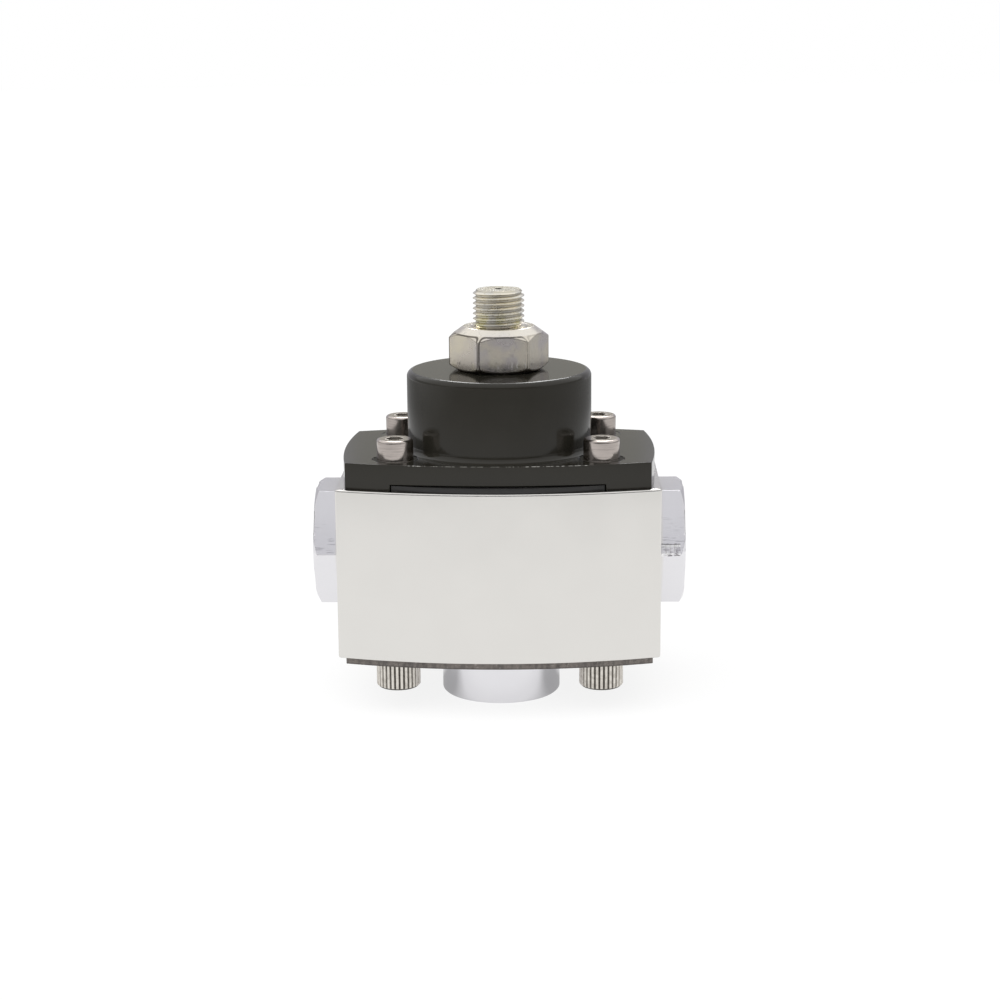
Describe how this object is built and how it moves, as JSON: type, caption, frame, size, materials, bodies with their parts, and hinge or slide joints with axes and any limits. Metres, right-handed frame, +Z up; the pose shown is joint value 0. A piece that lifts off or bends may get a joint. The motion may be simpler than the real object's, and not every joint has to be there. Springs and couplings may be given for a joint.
{
  "type": "fuel pressure regulator",
  "caption": "Return-style fuel pressure regulator: chromed body with hexagonal side ports, black spring cover, threaded adjuster with lock nut, and a round return port below.",
  "frame": {"origin": "centre of the return boss's end face, on which the part stands", "axes": "+Z up the adjusting screw, +X out of the outlet port, -Y out of the bare front"},
  "size_m": [0.072, 0.0432, 0.0803],
  "materials": {
    "chromed_casting": "satin chrome over a die casting",
    "black_cover": "semi-gloss black anodised",
    "zinc_plate": "worn zinc plating, slightly yellow",
    "bright_screw": "polished nickel",
    "knurled_screw": "zinc plated, knurled",
    "plate_steel": "sheared sheet edge, dull grey-brown",
    "chromed_boss": "bright chrome",
    "rubber": "smooth black nitrile",
    "brass": "turned",
    "plain_steel": "bright steel"
  },
  "bodies": {
    "housing": {"body": "chromed_casting", "base_plate": "plate_steel", "base_screws": "knurled_screw", "return_port": "chromed_boss", "return_seal": "rubber", "valve_seat": "brass", "diaphragm": "rubber", "cover": "black_cover", "cover_screws": "bright_screw"},
    "valve_stack": {"valve_disc": "rubber", "valve_poppet": "brass", "diaphragm_stem": "plain_steel", "lower_diaphragm_cup": "plain_steel", "upper_diaphragm_cup": "plain_steel", "stem_nut": "plain_steel", "main_spring": "plain_steel"},
    "spring_top": {"spring_button": "plain_steel", "thrust_ball": "plain_steel"},
    "adjuster": {"adjusting_screw": "zinc_plate"},
    "lock": {"jam_nut": "zinc_plate"}
  },
  "joints": [
    {"name": "screw_advance", "type": "slide", "parent": "housing", "child": "spring_top", "axis": [0, 0, 1], "range_m": [-0.002, 0.001], "deforming": ["main_spring"]},
    {"name": "screw_turn", "type": "hinge", "parent": "spring_top", "child": "adjuster", "pos_m": [0, 0, 0.0695], "axis": [0, 0, 1], "range_deg": [-720, 360]},
    {"name": "jam_nut_turn", "type": "hinge", "parent": "housing", "child": "lock", "pos_m": [0, 0, 0.0686], "axis": [0, 0, 1], "range_deg": [0, 90]},
    {"name": "valve_lift", "type": "slide", "parent": "housing", "child": "valve_stack", "axis": [0, 0, 1], "range_m": [0, 0.001], "stiffness_N_per_m": 6800, "deforming": ["main_spring", "diaphragm"]}
  ],
  "couplings": [
    {"joint": "screw_advance", "follows": "screw_turn", "m_per_rad": 0.00015915}
  ]
}
